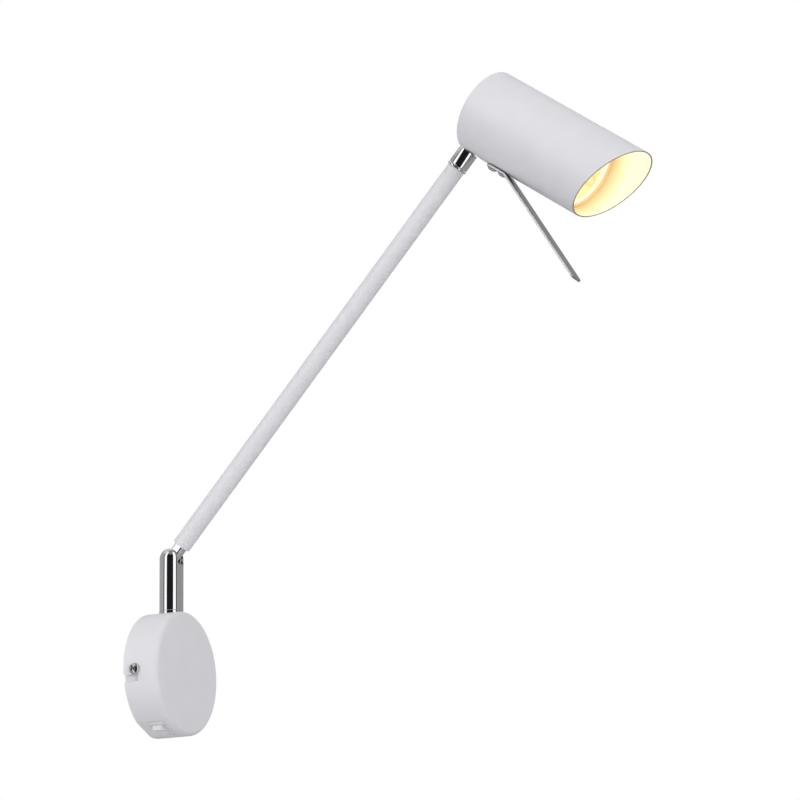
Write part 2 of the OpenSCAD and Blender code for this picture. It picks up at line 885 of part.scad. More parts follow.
// A flat strip that starts square at z = 0 and ends with rounded corners, lying on y = 0
module strip(length, corner_r) {
    half_w = handle_w / 2;
    inner_w = half_w - corner_r;
    translate([-half_w, -handle_t, 0]) cube([handle_w, handle_t, length - corner_r]);
    translate([-inner_w, -handle_t, 0]) cube([2 * inner_w, handle_t, length]);
    for (side = [-1, 1])
        translate([side * inner_w, 0, length - corner_r]) rotate([90, 0, 0])
            cylinder(r = corner_r, h = handle_t);
}

module handle() {
    half_w = handle_w / 2;
    color("lightslategray") head_frame() difference() {
        translate([0, -shade_r - snug, handle_corner]) {
            translate([0, -handle_t, 0]) rotate([180, 0, 0])
                strip(handle_corner - handle_start, handle_top_round);
            translate([0, -handle_t, 0]) rotate([handle_bend, 0, 0]) translate([0, handle_t, 0])
                strip(handle_length, handle_tip_round);
            intersection() {
                translate([-half_w, -handle_t, 0]) rotate([0, 90, 0]) cylinder(r = handle_t, h = handle_w);
                translate([-half_w, -handle_t, -handle_t]) cube([handle_w, handle_t, 2 * handle_t]);
            }
        }
        handle_bores(handle_hole_d);
    }
}

module handle_screws() {
    color("silver") head_frame() for (hole = handle_holes)
        translate([0, -shade_r - handle_t - snug - contact, hole]) rotate([90, 0, 0])
            rotate([0, 0, handle_screw_turn]) pan_screw(small_screw_d, handle_screw_l, handle_screw_head);
}

module lampholder() {
    color("linen") head_frame() translate([0, 0, holder_start + contact]) difference() {
        cylinder(d = holder_d, h = holder_h);
        for (side = [-1, 1]) {
            translate([side * holder_screw_x, 0, -1]) cylinder(d = small_screw_d + 0.2, h = holder_h + 2);
            translate([side * holder_screw_x, 0, holder_h - holder_screw_sink])
                cylinder(d = small_head.x + 0.8, h = through);
            translate([0, side * pin_pitch / 2, cup_start]) cylinder(d = cup_d + 0.2, h = holder_h);
            translate([0, side * pin_pitch / 2, -1]) cylinder(d = lead_hole_d, h = cup_start + 2);
        }
    }
}

module lampholder_screws() {
    color("silver") head_frame() for (side = [-1, 1])
        translate([side * holder_screw_x, 0, holder_start + holder_h - holder_screw_sink + 2 * contact])
            pan_screw(small_screw_d, holder_screw_l, small_head);
}

// Sprung cups that the bulb's pins turn into
module lampholder_contacts() {
    color("gold") head_frame() for (side = [-1, 1])
        translate([0, side * pin_pitch / 2, holder_start + cup_start + 2 * contact]) difference() {
            cylinder(d = cup_d, h = cup_h);
            translate([0, 0, cup_floor]) cylinder(d = cup_d - 2 * cup_wall, h = cup_h);
        }
}

module bulb_base() {
    color("linen") head_frame() difference() {
        union() {
            translate([0, 0, bulb_base_start + 2 * contact])
                cylinder(r = bulb_base_r, h = bulb_base_end - bulb_base_start - 1);
            translate([0, 0, bulb_base_end - bulb_neck_h]) cylinder(r = bulb_neck_r, h = bulb_neck_h);
        }
        for (side = [-1, 1])
            translate([0, side * pin_pitch / 2, bulb_base_start - 1])
                cylinder(d = bulb_pin_d + contact, h = bulb_pin_l - bulb_pin_reach + 1.7);
    }
}

module bulb_pins() {
    color("silver") head_frame() for (side = [-1, 1])
        translate([0, side * pin_pitch / 2, bulb_base_start - bulb_pin_reach]) {
            cylinder(d = bulb_pin_d, h = bulb_pin_l);
            cylinder(d = bulb_pin_head.x, h = bulb_pin_head.y);
        }
}

// Inner radius of the reflector at distance z behind its rim, a parabola
function bowl_r(z) =
    let (
        depth = bulb_rim - bulb_base_end,
        small = pow(bulb_neck_r - bulb_wall, 2),
        large = pow(bulb_r - bulb_wall, 2)
    )
    sqrt(small + (large - small) * (1 - z / depth));

module bulb_reflector() {
    depth = bulb_rim - bulb_base_end;
    inside = [for (i = [0 : bulb_steps]) [bowl_r(depth * (1 - i / bulb_steps)), depth * i / bulb_steps]];
    outside = [for (i = [bulb_steps : -1 : 0]) inside[i] + [bulb_wall, 0]];
    color("gainsboro") head_frame() translate([0, 0, bulb_base_end + contact])
        rotate_extrude() polygon(concat(inside, outside));
}

module bulb_burner() {
    color("white") head_frame() translate([0, 0, bulb_base_end + contact]) {
        cylinder(d = burner_foot.x, h = burner_foot.y);
        cylinder(d = burner_d, h = burner_top);
        translate([0, 0, burner_top]) sphere(d = burner_d);
    }
}

module bulb_glass() {
    back_r = bowl_r(glass_set_back) - glass_gap;
    front_r = bowl_r(glass_set_back - glass_t) - glass_gap;
    color("lightyellow") head_frame() translate([0, 0, bulb_rim - glass_set_back])
        cylinder(r1 = back_r, r2 = front_r, h = glass_t);
}

module head_wires() {
    color("sienna") head_frame() for (side = [-1, 1])
        lead([[side * 1.2, -11, 5], [side * 1.2, -6.5 + side * 2.5, 9],
              [0, side * pin_pitch / 2, 13], [0, side * pin_pitch / 2, holder_start + 2.6]]);
}

wall_bracket();
base_cover();
cover_screws();
cable_grommet();
earth_screw();
terminal_block();
terminal_clamps();
terminal_screws();
block_screw();
switch_housing();
switch_rocker();
switch_terminals();
base_wires();
post_ring();
post_saddle();
post();
post_washer();
post_nut();
elbow_pin();
elbow_discs();
post_wires();
arm_tongue();
arm_tube();
arm_bush();
neck_washer();
neck_nut();
arm_wires();
neck_sleeve();
neck_tongue();
neck_wires();
shade();
lamp_bracket();
tilt_screw();
tilt_discs();
tilt_nut();
handle();
handle_screws();
lampholder();
lampholder_screws();
lampholder_contacts();
bulb_base();
bulb_pins();
bulb_reflector();
bulb_burner();
bulb_glass();
head_wires();
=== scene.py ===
import json
import math

import bmesh
import bpy
from mathutils import Matrix, Vector


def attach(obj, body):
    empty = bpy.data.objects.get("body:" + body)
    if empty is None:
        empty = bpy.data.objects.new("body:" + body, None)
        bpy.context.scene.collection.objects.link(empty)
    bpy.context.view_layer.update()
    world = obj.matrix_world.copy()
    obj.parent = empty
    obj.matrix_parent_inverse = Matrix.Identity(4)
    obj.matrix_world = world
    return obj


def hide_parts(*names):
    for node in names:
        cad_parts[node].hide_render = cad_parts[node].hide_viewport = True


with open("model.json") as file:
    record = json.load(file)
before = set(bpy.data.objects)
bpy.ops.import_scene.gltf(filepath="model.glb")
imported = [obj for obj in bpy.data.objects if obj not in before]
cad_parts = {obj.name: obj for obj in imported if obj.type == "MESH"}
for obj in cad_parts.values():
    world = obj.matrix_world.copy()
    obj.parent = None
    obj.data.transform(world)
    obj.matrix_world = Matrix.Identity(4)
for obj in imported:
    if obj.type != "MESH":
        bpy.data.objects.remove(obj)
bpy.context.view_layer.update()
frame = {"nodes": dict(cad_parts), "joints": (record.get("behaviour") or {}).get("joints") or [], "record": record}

NODES = frame["nodes"]
JOINTS = {joint["name"]: joint for joint in frame["joints"]}
MM = 0.001

# ---------- Places, from the frame ----------

HEAD_BEND = math.radians(84.5)      # between the arm and the shade's axis
HANDLE_BEND = math.radians(23)      # between the shade's axis and the handle
BULB_RIM = 87.5                     # distance of the bulb's rim from the shade's back, mm
TILT_IN_HEAD = (0.0, -19.0, 6.74)   # the tilt screw seen from the middle of the shade's back, mm
SWITCH_ANGLE = math.radians(-111)   # place of the switch round the rim
SEAT_R = 38.8                       # distance of the switch seat from the middle, mm
SWITCH_DEPTH = 13.6                 # distance of the switch from the wall, mm

X_AXIS = Vector((1, 0, 0))
ELBOW = Vector(JOINTS["elbow_tilt"]["pos_m"])
TILT = Vector(JOINTS["head_tilt"]["pos_m"])
ARM_DIR = Vector(JOINTS["head_swivel"]["axis"]).normalized()
POST_Y = Vector(JOINTS["post_swivel"]["pos_m"]).y
HEAD_DIR = Matrix.Rotation(HEAD_BEND, 3, "X") @ ARM_DIR
HANDLE_DIR = Matrix.Rotation(HANDLE_BEND, 3, "X") @ HEAD_DIR


def place(origin, x_axis, z_axis):
    """The matrix that takes millimetres in a local frame to metres in the part's frame."""
    y_axis = z_axis.cross(x_axis)
    turn = Matrix((x_axis, y_axis, z_axis)).transposed().to_4x4()
    return Matrix.Translation(origin) @ turn @ Matrix.Scale(MM, 4)


def to_upright(direction):
    """The turn about x that stands a direction in the y-z plane upright."""
    return (-math.atan2(-direction.y, direction.z), 0, 0)


WALL = place(Vector(), X_AXIS, Vector((0, -1, 0)))          # y up, z away from the wall
POST = place(Vector((0, POST_Y, 0)), X_AXIS, Vector((0, 0, 1)))
ARM = place(ELBOW, X_AXIS, ARM_DIR)                         # z along the arm
HEAD = place(TILT, X_AXIS, HEAD_DIR) @ Matrix.Translation(-Vector(TILT_IN_HEAD))
RADIAL = Vector((math.cos(SWITCH_ANGLE), 0, math.sin(SWITCH_ANGLE)))
TANGENT = Vector((-RADIAL.z, 0, RADIAL.x))
SWITCH = place(
    RADIAL * SEAT_R * MM + Vector((0, -SWITCH_DEPTH * MM, 0)), TANGENT, RADIAL
)                                                           # x round the rim, z out of it

# ---------- Mesh tools ----------


def arc_corner(before, corner, after, radius, steps):
    """Points that round a corner of an outline."""
    corner, before, after = Vector(corner), Vector(before), Vector(after)
    to_before = (before - corner).normalized()
    to_after = (after - corner).normalized()
    half = to_before.angle(to_after) / 2
    reach = radius / math.tan(half)
    centre = corner + (to_before + to_after).normalized() * radius / math.sin(half)
    start = corner + to_before * reach - centre
    end = corner + to_after * reach - centre
    sweep = start.angle_signed(end)
    points = []
    for i in range(steps + 1):
        angle = -sweep * i / steps
        points.append(centre + Matrix.Rotation(angle, 2) @ start)
    return points


def rounded(corners, steps=5):
    """An outline from (x, y, radius) corners."""
    points = []
    count = len(corners)
    for i, (x, y, radius) in enumerate(corners):
        if radius == 0:
            points.append(Vector((x, y)))
            continue
        before = corners[i - 1][:2]
        after = corners[(i + 1) % count][:2]
        points += arc_corner(before, (x, y), after, radius, steps)
    return [tuple(p) for p in points]


def mesh_object(name, verts, faces, matrix):
    mesh = bpy.data.meshes.new(name)
    mesh.from_pydata([matrix @ Vector(v) for v in verts], [], faces)
    mesh.validate()
    bm = bmesh.new()
    bm.from_mesh(mesh)
    bmesh.ops.remove_doubles(bm, verts=bm.verts, dist=1e-7)
    bmesh.ops.recalc_face_normals(bm, faces=bm.faces)
    bm.to_mesh(mesh)
    bm.free()
    obj = bpy.data.objects.new(name, mesh)
    bpy.context.scene.collection.objects.link(obj)
    return obj


def lathe(name, outline, matrix, steps=96, shift=None):
    """Turns a closed (r, z) outline about z. shift(y, z) may move each point along z."""
    verts, faces = [], []
    count = len(outline)
    for j in range(steps):
        turn = 2 * math.pi * j / steps
        for r, z in outline:
            x, y = r * math.cos(turn), r * math.sin(turn)
            verts.append((x, y, z + (shift(y, z) if shift else 0)))
    for j in range(steps):
        here, there = j * count, (j + 1) % steps * count
        for i in range(count):
            k = (i + 1) % count
            if outline[i][0] == 0 and outline[k][0] == 0:
                continue
            faces.append((here + i, there + i, there + k, here + k))
    return mesh_object(name, verts, [tuple(dict.fromkeys(f)) for f in faces], matrix)


def prism(name, outline, low, high, matrix):
    """A flat outline in x and y, standing from z = low to z = high."""
    count = len(outline)
    verts = [(x, y, low) for x, y in outline] + [(x, y, high) for x, y in outline]
    faces = [tuple(range(count - 1, -1, -1)), tuple(range(count, 2 * count))]
    for i in range(count):
        k = (i + 1) % count
        faces.append((i, k, count + k, count + i))
    return mesh_object(name, verts, faces, matrix)


def box_mesh(name, low, high, matrix):
    outline = [(low[0], low[1]), (high[0], low[1]), (high[0], high[1]), (low[0], high[1])]
    return prism(name, outline, low[2], high[2], matrix)


def circle_outline(radius, steps):
    turns = [2 * math.pi * i / steps for i in range(steps)]
    return [(radius * math.cos(turn), radius * math.sin(turn)) for turn in turns]


def settle(obj):
    """Applies the modifiers of a new piece to its mesh."""
    bpy.context.view_layer.update()
    done = bpy.data.meshes.new_from_object(obj.evaluated_get(bpy.context.evaluated_depsgraph_get()))
    obj.modifiers.clear()
    obj.data = done
    return obj


def combine(obj, others, operation="DIFFERENCE"):
    """Cuts other solids out of a piece, or joins them to it. The work is done in millimetres."""
    obj.data.transform(Matrix.Scale(1 / MM, 4))
    for other in others:
        other.data.transform(Matrix.Scale(1 / MM, 4))
        step = obj.modifiers.new("cut", "BOOLEAN")
        step.operation = operation
        step.solver = "MANIFOLD"
        step.object = other
        settle(obj)
        bpy.data.objects.remove(other)
    obj.data.transform(Matrix.Scale(MM, 4))
    return obj


def soften(obj, width, angle=32, segments=2):
    """Rounds the sharp edges of a new piece a little, as a real edge is."""
    step = obj.modifiers.new("edges", "BEVEL")
    step.width = width * MM
    step.segments = segments
    step.limit_method = "ANGLE"
    step.angle_limit = math.radians(angle)
    step.use_clamp_overlap = True
    step.miter_outer = "MITER_ARC"
    return settle(obj)


def slice_across(obj, matrix, low, high, direction=(0, 0, 1), step=5):
    """Cuts faces across every step mm. Very long thin faces showed more speckle."""
    bm = bmesh.new()
    bm.from_mesh(obj.data)
    start, ahead = Vector(direction) * low, Vector(direction)
    normal = (matrix.to_3x3() @ ahead).normalized()
    for i in range(1, int((high - low) / step)):
        bmesh.ops.bisect_plane(
            bm, geom=bm.verts[:] + bm.edges[:] + bm.faces[:], dist=1e-8,
            plane_co=matrix @ (start + ahead * step * i), plane_no=normal,
        )
    bm.to_mesh(obj.data)
    bm.free()


def smooth(obj, angle=32):
    mesh = obj.data
    mesh.polygons.foreach_set("use_smooth", [True] * len(mesh.polygons))
    mesh.set_sharp_from_angle(angle=math.radians(angle))
    return obj


def finish_piece(obj, body, slot, replaced=(), material=None):
    """Gives a piece its body and its look, the slot's or the given one, and hides the CAD nodes it replaces."""
    smooth(obj)
    obj.data.materials.clear()
    obj.data.materials.append(material or LOOKS[slot])
    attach(obj, body)
    if replaced:
        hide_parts(*replaced)
    return obj


def taper(name, half_low, half_high, low, high, matrix):
    """A block with one size at the bottom and another at the top."""
    verts = []
    for (hx, hy), z in ((half_low, low), (half_high, high)):
        verts += [(-hx, -hy, z), (hx, -hy, z), (hx, hy, z), (-hx, hy, z)]
    faces = [(3, 2, 1, 0), (4, 5, 6, 7)]
    faces += [(i, (i + 1) % 4, (i + 1) % 4 + 4, i + 4) for i in range(4)]
    return mesh_object(name, verts, faces, matrix)


def tube_cut(name, radius, low, high, matrix, steps=48):
    return prism(name, circle_outline(radius, steps), low, high, matrix)


def join(objs):
    """Makes one piece of several separate solids."""
    bm = bmesh.new()
    for obj in objs:
        bm.from_mesh(obj.data)
    mesh = bpy.data.meshes.new(objs[0].name)
    bm.to_mesh(mesh)
    bm.free()
    objs[0].data = mesh
    for other in objs[1:]:
        bpy.data.objects.remove(other)
    return objs[0]


# ---------- Material tools ----------


def add_node(tree, kind, inputs=(), **settings):
    """Adds a shader node. inputs maps a socket's name to a value or to another node's output."""
    made = tree.nodes.new("ShaderNode" + kind)
    for key, value in settings.items():
        setattr(made, key, value)
    for key, value in dict(inputs).items():
        if isinstance(value, bpy.types.NodeSocket):
            tree.links.new(value, made.inputs[key])
        else:
            made.inputs[key].default_value = value
    return made


def mapped_noise(tree, scale, detail=2.0, stretch=(1, 1, 1), turn=(0, 0, 0)):
    """Noise in the piece's own space. scale is in features per metre, stretch acts after turn."""
    spot = add_node(tree, "TexCoord").outputs["Object"]
    turned = add_node(tree, "Mapping", {"Vector": spot, "Rotation": turn})
    scaled = add_node(tree, "Mapping", {"Vector": turned.outputs[0], "Scale": stretch})
    made = add_node(tree, "TexNoise", {
        "Vector": scaled.outputs[0], "Scale": scale, "Detail": detail
    })
    return made.outputs["Fac"]


def spread(tree, value, low, high, start=0.3, end=0.7, kind="LINEAR"):
    """Maps start...end of a value to low...high."""
    made = add_node(tree, "MapRange", {
        "Value": value, "From Min": start, "From Max": end, "To Min": low, "To Max": high
    }, interpolation_type=kind)
    return made.outputs["Result"]


def tones(tree, value, stops):
    """A colour ramp from (place, colour) stops."""
    ramp = add_node(tree, "ValToRGB", {"Fac": value})
    marks = ramp.color_ramp.elements
    while len(marks) < len(stops):
        marks.new(0.5)
    for mark, (spot, colour) in zip(marks, stops):
        mark.position = spot
        mark.color = (*colour, 1)
    return ramp.outputs["Color"]


def calc(tree, kind, first, second):
    return add_node(tree, "Math", {0: first, 1: second}, operation=kind).outputs[0]


def surface(
    name, dark, light, rough, tone_scale=70, grain_scale=1200, grain=0.02,
    stretch=(1, 1, 1), turn=(0, 0, 0), **sockets
):
    """A material whose tone, roughness and relief vary. grain is the relief's depth in mm."""
    material = bpy.data.materials.new(name)
    material.use_nodes = True
    tree = material.node_tree
    tree.nodes.clear()
    tone = mapped_noise(tree, tone_scale, 4, stretch, turn)
    fine = mapped_noise(tree, grain_scale, 2, stretch, turn)
    relief = add_node(tree, "Bump", {"Height": fine, "Strength": 1.0, "Distance": grain * MM})
    mixed = calc(tree, "MULTIPLY", calc(tree, "ADD", tone, fine), 0.5)
    shader = add_node(tree, "BsdfPrincipled", {
        "Base Color": tones(tree, tone, ((0.3, dark), (0.7, light))),
        "Roughness": spread(tree, mixed, *rough),
        "Normal": relief.outputs[0],
    })
    for key, value in sockets.items():
        shader.inputs[key.replace("_", " ")].default_value = value
    add_node(tree, "OutputMaterial", {"Surface": shader.outputs[0]})
    return material


def set_glow(material, colour):
    """Makes a material glow in a colour that comes from its own nodes."""
    tree = material.node_tree
    shader = next(n for n in tree.nodes if n.bl_idname == "ShaderNodeBsdfPrincipled")
    tree.links.new(colour, shader.inputs["Emission Color"])
    return material


def along_head(tree):
    """Distance in mm in front of the bulb's rim, along the shade."""
    spot = add_node(tree, "TexCoord").outputs["Object"]
    along = add_node(tree, "VectorMath", {0: spot, 1: HEAD_DIR}, operation="DOT_PRODUCT")
    rim = (HEAD @ Vector((0, 0, BULB_RIM))).dot(HEAD_DIR)
    return calc(tree, "MULTIPLY", calc(tree, "SUBTRACT", along.outputs["Value"], rim), 1 / MM)


# ---------- Materials ----------


LOOKS = {
    "white_coat": surface(
        "white_coat", (0.775, 0.768, 0.805), (0.80, 0.793, 0.83), (0.36, 0.46),
        grain_scale=1500, grain=0.003, Specular_IOR_Level=0.35,
    ),
    "chrome": surface(
        "chrome", (0.70, 0.70, 0.725), (0.74, 0.74, 0.765), (0.045, 0.065),
        tone_scale=120, grain_scale=3000, grain=0.00006, Metallic=1.0,
    ),
    "handle_steel": surface(
        "handle_steel", (0.40, 0.395, 0.44), (0.47, 0.465, 0.51), (0.22, 0.30),
        tone_scale=1400, grain_scale=3200, grain=0.0008, stretch=(1, 1, 0.03),
        turn=to_upright(HANDLE_DIR), Metallic=1.0,
    ),
    "zinc_steel": surface(
        "zinc_steel", (0.50, 0.52, 0.54), (0.66, 0.67, 0.67), (0.22, 0.42),
        tone_scale=420, grain_scale=1600, grain=0.004, Metallic=1.0,
    ),
    "screw_nickel": surface(
        "screw_nickel", (0.53, 0.52, 0.515), (0.64, 0.63, 0.62), (0.14, 0.26),
        tone_scale=500, grain_scale=2500, grain=0.002, Metallic=1.0,
    ),
    "brass": surface(
        "brass", (0.56, 0.38, 0.15), (0.72, 0.52, 0.24), (0.18, 0.36),
        tone_scale=300, grain_scale=1800, grain=0.002, Metallic=1.0,
    ),
    "switch_plastic": surface(
        "switch_plastic", (0.775, 0.77, 0.80), (0.81, 0.805, 0.83), (0.13, 0.22),
        tone_scale=150, grain_scale=900, grain=0.0008, Specular_IOR_Level=0.5,
    ),
    "nylon": surface(
        "nylon", (0.66, 0.64, 0.58), (0.74, 0.72, 0.66), (0.40, 0.52),
        tone_scale=250, grain=0.004, Subsurface_Weight=0.12, Subsurface_Scale=0.001,
    ),
    "block_plastic": surface(
        "block_plastic", (0.60, 0.59, 0.53), (0.72, 0.71, 0.66), (0.30, 0.42),
        tone_scale=180, grain=0.004, Subsurface_Weight=0.15, Subsurface_Scale=0.001,
    ),
    "rubber": surface(
        "rubber", (0.012, 0.012, 0.013), (0.028, 0.028, 0.03), (0.62, 0.80),
        tone_scale=260, grain_scale=2400, grain=0.01,
    ),
    "ceramic": surface(
        "ceramic", (0.66, 0.63, 0.55), (0.78, 0.76, 0.70), (0.16, 0.34),
        tone_scale=140, grain_scale=800, grain=0.006, Coat_Weight=0.3, Coat_Roughness=0.12,
    ),
    "lead_sleeve": surface(
        "lead_sleeve", (0.10, 0.045, 0.02), (0.17, 0.08, 0.04), (0.42, 0.58),
        tone_scale=500, grain_scale=2600, grain=0.012,
    ),
}


def mirror_coat_painted_glow():
    """The lit inside of the reflector: facets with a painted warm glow for the burner's light reflected in them,
    deeper towards the neck and a painted near white glare by the rim.
    """
    material = surface(
        "reflector", (0.30, 0.26, 0.16), (0.36, 0.32, 0.20), (0.25, 0.40),
        tone_scale=260, grain_scale=900, grain=0.004, Metallic=0.3, Emission_Strength=1.0,
    )
    tree = material.node_tree
    patches = mapped_noise(tree, 230, 2)
    # painted glow of the facets, a painted reflection of the burner
    painted_facet_glow = tones(tree, patches, (
        (0.34, (0.62, 0.46, 0.22)), (0.42, (0.76, 0.66, 0.33)), (0.62, (0.80, 0.72, 0.40))
    ))
    # by the rim the painted glow turns almost white, a painted glare
    near = spread(tree, along_head(tree), 0, 1, -4.6, -2.4, "SMOOTHSTEP")
    glow = add_node(tree, "MixRGB", {0: near, 1: painted_facet_glow, 2: (1.0, 0.99, 0.90, 1)}).outputs[0]
    return set_glow(material, glow)


def lit_glass():
    """The cover glass, clear in the middle, which glares at its edge."""
    material = bpy.data.materials.new("lamp_glass")
    material.use_nodes = True
    tree = material.node_tree
    tree.nodes.clear()
    haze = mapped_noise(tree, 220, 3)
    gloss = add_node(tree, "BsdfGlossy", {
        "Color": (0.95, 0.95, 0.95, 1), "Roughness": spread(tree, haze, 0.03, 0.09)
    })
    clear = add_node(tree, "BsdfTransparent", {"Color": (0.99, 0.98, 0.93, 1)})
    edge_on = calc(tree, "MULTIPLY", add_node(tree, "Fresnel", {"IOR": 1.5}).outputs[0], 0.15)
    glass = add_node(tree, "MixShader", {0: edge_on, 1: clear.outputs[0], 2: gloss.outputs[0]})
    add_node(tree, "OutputMaterial", {"Surface": glass.outputs[0]})
    return material


def burner_glass():
    """The frosted capsule, which gives the light."""
    material = surface(
        "burner_glass", (0.90, 0.88, 0.80), (0.96, 0.94, 0.88), (0.20, 0.34),
        tone_scale=300, grain=0.003, Emission_Strength=6.0,
    )
    tree = material.node_tree
    glow = tones(tree, mapped_noise(tree, 160, 2), (
        (0.3, (1.0, 0.74, 0.38)), (0.7, (1.0, 0.84, 0.52))
    ))
    return set_glow(material, glow)


def painted_lamplight_coat():
    """The white coat inside the shade with painted lamplight: a painted glow, orange beside the bulb and cream
    towards the mouth.
    """
    material = surface(
        "painted_lamplight_coat", (0.38, 0.35, 0.25), (0.42, 0.39, 0.28), (0.36, 0.46),
        grain_scale=1500, grain=0.003, Emission_Strength=1.0,
    )
    tree = material.node_tree
    # painted lamplight, by distance in front of the bulb's rim, a little uneven
    uneven = spread(tree, mapped_noise(tree, 60, 2), -0.6, 0.6)
    ahead = add_node(tree, "MapRange", {
        "Value": calc(tree, "ADD", along_head(tree), uneven), "From Min": -4.0, "From Max": 26.0,
    }, clamp=True).outputs["Result"]
    glow = tones(tree, ahead, (
        (0.0, (0.30, 0.17, 0.07)), (0.12, (0.58, 0.37, 0.15)), (0.20, (0.74, 0.49, 0.24)),
        (0.33, (0.82, 0.60, 0.34)), (0.53, (0.84, 0.79, 0.57)), (1.0, (0.84, 0.80, 0.56)),
    ))
    return set_glow(material, glow)


LOOKS["reflector"] = mirror_coat_painted_glow()
LOOKS["lamp_glass"] = lit_glass()
# a lighter, less metallic copy of the handle steel for the strip's edges, a painted highlight
HANDLE_EDGE_PAINTED_HIGHLIGHT = surface(
    "handle_edge_painted_highlight", (0.66, 0.65, 0.68), (0.76, 0.75, 0.78), (0.25, 0.35),
    tone_scale=1400, grain_scale=3200, grain=0.0008, stretch=(1, 1, 0.03),
    turn=to_upright(HANDLE_DIR), Metallic=0.3,
)
PAINTED_LAMPLIGHT_COAT = painted_lamplight_coat()
BURNER_GLASS = burner_glass()
CUT_EDGE = surface(
    "cut_edge", (0.40, 0.36, 0.33), (0.46, 0.41, 0.38), (0.45, 0.60),
    tone_scale=300, grain=0.004,
)


def rim_painted_glow():
    """The bulb's rim and outside, with a painted warm glow for the light that leaks past it."""
    material = surface(
        "rim_painted_glow", (0.42, 0.34, 0.22), (0.50, 0.41, 0.28), (0.25, 0.40),
        tone_scale=220, grain=0.004, Emission_Strength=1.0,
    )
    tree = material.node_tree
    glow = tones(tree, mapped_noise(tree, 140, 2), (
        (0.3, (0.44, 0.25, 0.09)), (0.7, (0.56, 0.34, 0.14))
    ))
    return set_glow(material, glow)


RIM_PAINTED_GLOW = rim_painted_glow()

# ---------- Shared pieces ----------

FINE = 160      # steps round a large round


def pan_screw(name, size, length, head, matrix, turn=0.0):
    """A domed head (diameter, height) above z = 0 with a cross recess, and a thread below."""
    head_d, head_h = head
    dome = 0.7 * head_d
    matrix = matrix @ Matrix.Rotation(math.radians(turn), 4, "Z")
    rim_z = head_h - dome + math.sqrt(dome**2 - (head_d / 2) ** 2)
    outline = [(0, -length), (size / 2 - 0.3, -length)]
    pitch = 0.5
    turns = int((length - 1.0) / pitch)
    for i in range(turns):
        z = -length + 0.3 + i * pitch
        outline += [(size / 2, z), (size / 2 - 0.2, z + pitch / 2)]
    outline += [(size / 2, -0.6), (size / 2, 0), (head_d / 2 - 0.15, 0), (head_d / 2, 0.15)]
    outline += [(head_d / 2, rim_z - 0.2)]
    for i in range(1, 9):
        angle = math.asin(head_d / 2 / dome) * (1 - i / 8)
        r = dome * math.sin(angle) if i < 8 else 0
        outline.append((r, head_h - dome + dome * math.cos(angle)))
    screw = lathe(name, outline, matrix, 48)
    arm, wide, floor = 0.32 * head_d, 0.085 * head_d, 0.05 * head_h
    cross = [
        taper("cut", (0.6 * a, 0.8 * b), (a, b), floor, head_h + 0.2, matrix)
        for a, b in ((arm, wide), (wide, arm))
    ]
    return combine(screw, cross)


BAR_R = 4.3     # radius of the round bar that a tongue is made of, mm


def clipped_round(radius, half, steps=16):
    """The outline of a round bar with flats at x = -half and x = half."""
    start = math.acos(half / radius)
    sweep = math.pi - 2 * start
    outline = []
    for turn in (0, math.pi):
        for i in range(steps + 1):
            angle = turn + start + sweep * i / steps
            outline.append((radius * math.cos(angle), radius * math.sin(angle)))
    return outline


def tongue(name, reach, half_t, plug_r, plug_l, matrix):
    """A round bar with two flats and an eye at z = 0, which ends in a round plug."""
    eye_r, pin_r, lead_y, lead_r = 4.6, 1.55, 2.75, 0.9
    across = matrix @ Matrix.Rotation(math.pi / 2, 4, "Y")
    blade = prism(name, clipped_round(BAR_R, half_t), 0, reach, matrix)
    combine(blade, [tube_cut("eye", eye_r, -half_t, half_t, across, 96)], "UNION")
    soften(blade, 0.25, 40)
    low, high = reach - 0.5, reach + plug_l
    plug = rounded([(0, low, 0), (plug_r, low, 0.4), (plug_r, high, 0.4), (0, high, 0)])
    combine(blade, [lathe("plug", plug, matrix, 64)], "UNION")
    bores = [tube_cut("cut", pin_r, -half_t - 1, half_t + 1, across, 40)]
    for side_y in (-lead_y, lead_y):
        way = matrix @ Matrix.Translation((0, side_y, 0))
        bores.append(tube_cut("cut", lead_r, -eye_r - 1, high + 1, way, 20))
    return combine(blade, bores)


# ---------- Base ----------

COVER_R, COVER_H, COVER_T = 40, 25, 1.2     # radius, height and wall of the cover, mm
COVER_SCREW = (1.4, 8.2)    # how far a cover screw is off the level line and from the wall, mm


def base_cover():
    outline = [(0, 0, 0), (COVER_R, 0, 0.25), (COVER_R, COVER_H, 3), (0, COVER_H, 0)]
    outer = lathe("base_cover_look", rounded(outline, 10), WALL, FINE)
    inner_r, inner_h = COVER_R - COVER_T, COVER_H - COVER_T
    room = [(0, -1, 0), (inner_r, -1, 0), (inner_r, inner_h, 1.8), (0, inner_h, 0)]
    hollow = lathe("hollow", rounded(room, 8), WALL, FINE)
    seat_pad = box_mesh("pad", (-13, -15.6, -1.2), (13, 6.8, 8), SWITCH)
    combine(hollow, [seat_pad])
    seat = box_mesh("seat", (-13, -14.6, 0), (13, 5.6, 8), SWITCH)
    opening = box_mesh("opening", (-7.33, -4.43, -5), (7.33, 4.43, 5), SWITCH)
    stub_hole = tube_cut("hole", 4.85, 20, 50, POST, 64)
    cuts = [hollow, seat, opening, stub_hole]
    for turn in (0, 180):
        cuts.append(bayonet(turn))
    combine(outer, cuts)
    soften(outer, 0.2, 40)
    return finish_piece(outer, "base", "white_coat", ["base_cover"])


